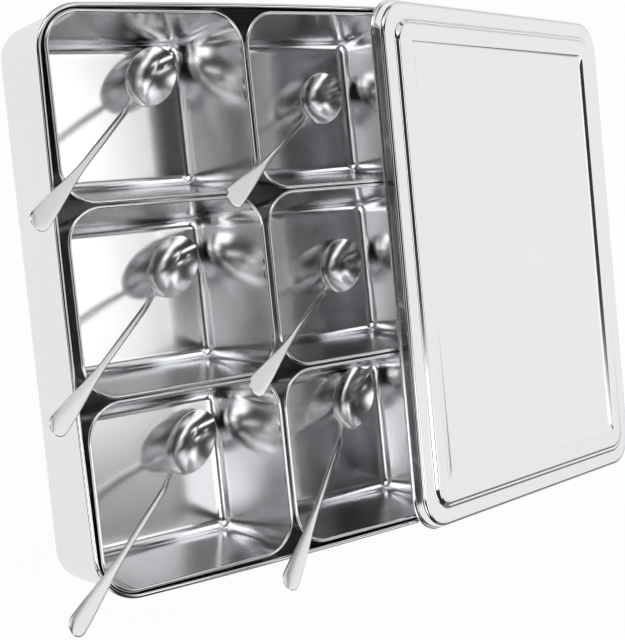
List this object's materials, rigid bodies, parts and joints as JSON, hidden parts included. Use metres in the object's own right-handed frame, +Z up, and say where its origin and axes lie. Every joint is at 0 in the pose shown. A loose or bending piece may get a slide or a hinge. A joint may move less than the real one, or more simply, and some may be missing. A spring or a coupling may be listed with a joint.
{
  "type": "spice box",
  "caption": "Rectangular steel seasoning box with a rolled rim, loose tapered bins in two columns, a spoon in each bin, and a lid taken off and leaning on its right side.",
  "frame": {"origin": "on the table, under the middle of the outer box's flat base", "axes": "+Z up; +Y from the front row of bins to the back row; +X towards the side of the box on which the lid leans"},
  "size_m": [0.4833, 0.3208, 0.0802],
  "materials": {
    "satin_steel": "satin stainless steel",
    "polished_steel": "polished stainless steel"
  },
  "bodies": {
    "box": {"outer_box": "satin_steel"},
    "bin_1": {"bin_1": "satin_steel"},
    "bin_2": {"bin_2": "satin_steel"},
    "bin_3": {"bin_3": "satin_steel"},
    "bin_4": {"bin_4": "satin_steel"},
    "bin_5": {"bin_5": "satin_steel"},
    "bin_6": {"bin_6": "satin_steel"},
    "spoon_1": {"spoon_1": "polished_steel"},
    "spoon_2": {"spoon_2": "polished_steel"},
    "spoon_3": {"spoon_3": "polished_steel"},
    "spoon_4": {"spoon_4": "polished_steel"},
    "spoon_5": {"spoon_5": "polished_steel"},
    "spoon_6": {"spoon_6": "polished_steel"},
    "lid": {"lid": "satin_steel"}
  },
  "joints": [
    {"name": "lid_lift", "type": "slide", "parent": "box", "child": "lid", "axis": [0, 0, 1], "range_m": [0, 0.3]},
    {"name": "bin_1_lift", "type": "slide", "parent": "box", "child": "bin_1", "axis": [0, 0, 1], "range_m": [0, 0.12]},
    {"name": "bin_2_lift", "type": "slide", "parent": "box", "child": "bin_2", "axis": [0, 0, 1], "range_m": [0, 0.12]},
    {"name": "bin_3_lift", "type": "slide", "parent": "box", "child": "bin_3", "axis": [0, 0, 1], "range_m": [0, 0.12]},
    {"name": "bin_4_lift", "type": "slide", "parent": "box", "child": "bin_4", "axis": [0, 0, 1], "range_m": [0, 0.12]},
    {"name": "bin_5_lift", "type": "slide", "parent": "box", "child": "bin_5", "axis": [0, 0, 1], "range_m": [0, 0.12]},
    {"name": "bin_6_lift", "type": "slide", "parent": "box", "child": "bin_6", "axis": [0, 0, 1], "range_m": [0, 0.12]},
    {"name": "spoon_1_lift", "type": "slide", "parent": "bin_1", "child": "spoon_1", "axis": [-0.7071, 0, 0.7071], "range_m": [0, 0.12]},
    {"name": "spoon_2_lift", "type": "slide", "parent": "bin_2", "child": "spoon_2", "axis": [-0.7071, 0, 0.7071], "range_m": [0, 0.12]},
    {"name": "spoon_3_lift", "type": "slide", "parent": "bin_3", "child": "spoon_3", "axis": [-0.7071, 0, 0.7071], "range_m": [0, 0.12]},
    {"name": "spoon_4_lift", "type": "slide", "parent": "bin_4", "child": "spoon_4", "axis": [-0.7071, 0, 0.7071], "range_m": [0, 0.12]},
    {"name": "spoon_5_lift", "type": "slide", "parent": "bin_5", "child": "spoon_5", "axis": [-0.7071, 0, 0.7071], "range_m": [0, 0.12]},
    {"name": "spoon_6_lift", "type": "slide", "parent": "bin_6", "child": "spoon_6", "axis": [-0.7071, 0, 0.7071], "range_m": [0, 0.12]}
  ],
  "couplings": [
    {"joint": "bin_1_lift", "follows": "lid_lift", "ratio": 0.4},
    {"joint": "bin_2_lift", "follows": "lid_lift", "ratio": 0.4},
    {"joint": "bin_3_lift", "follows": "lid_lift", "ratio": 0.4},
    {"joint": "bin_4_lift", "follows": "lid_lift", "ratio": 0.4},
    {"joint": "bin_5_lift", "follows": "lid_lift", "ratio": 0.4},
    {"joint": "bin_6_lift", "follows": "lid_lift", "ratio": 0.4}
  ]
}
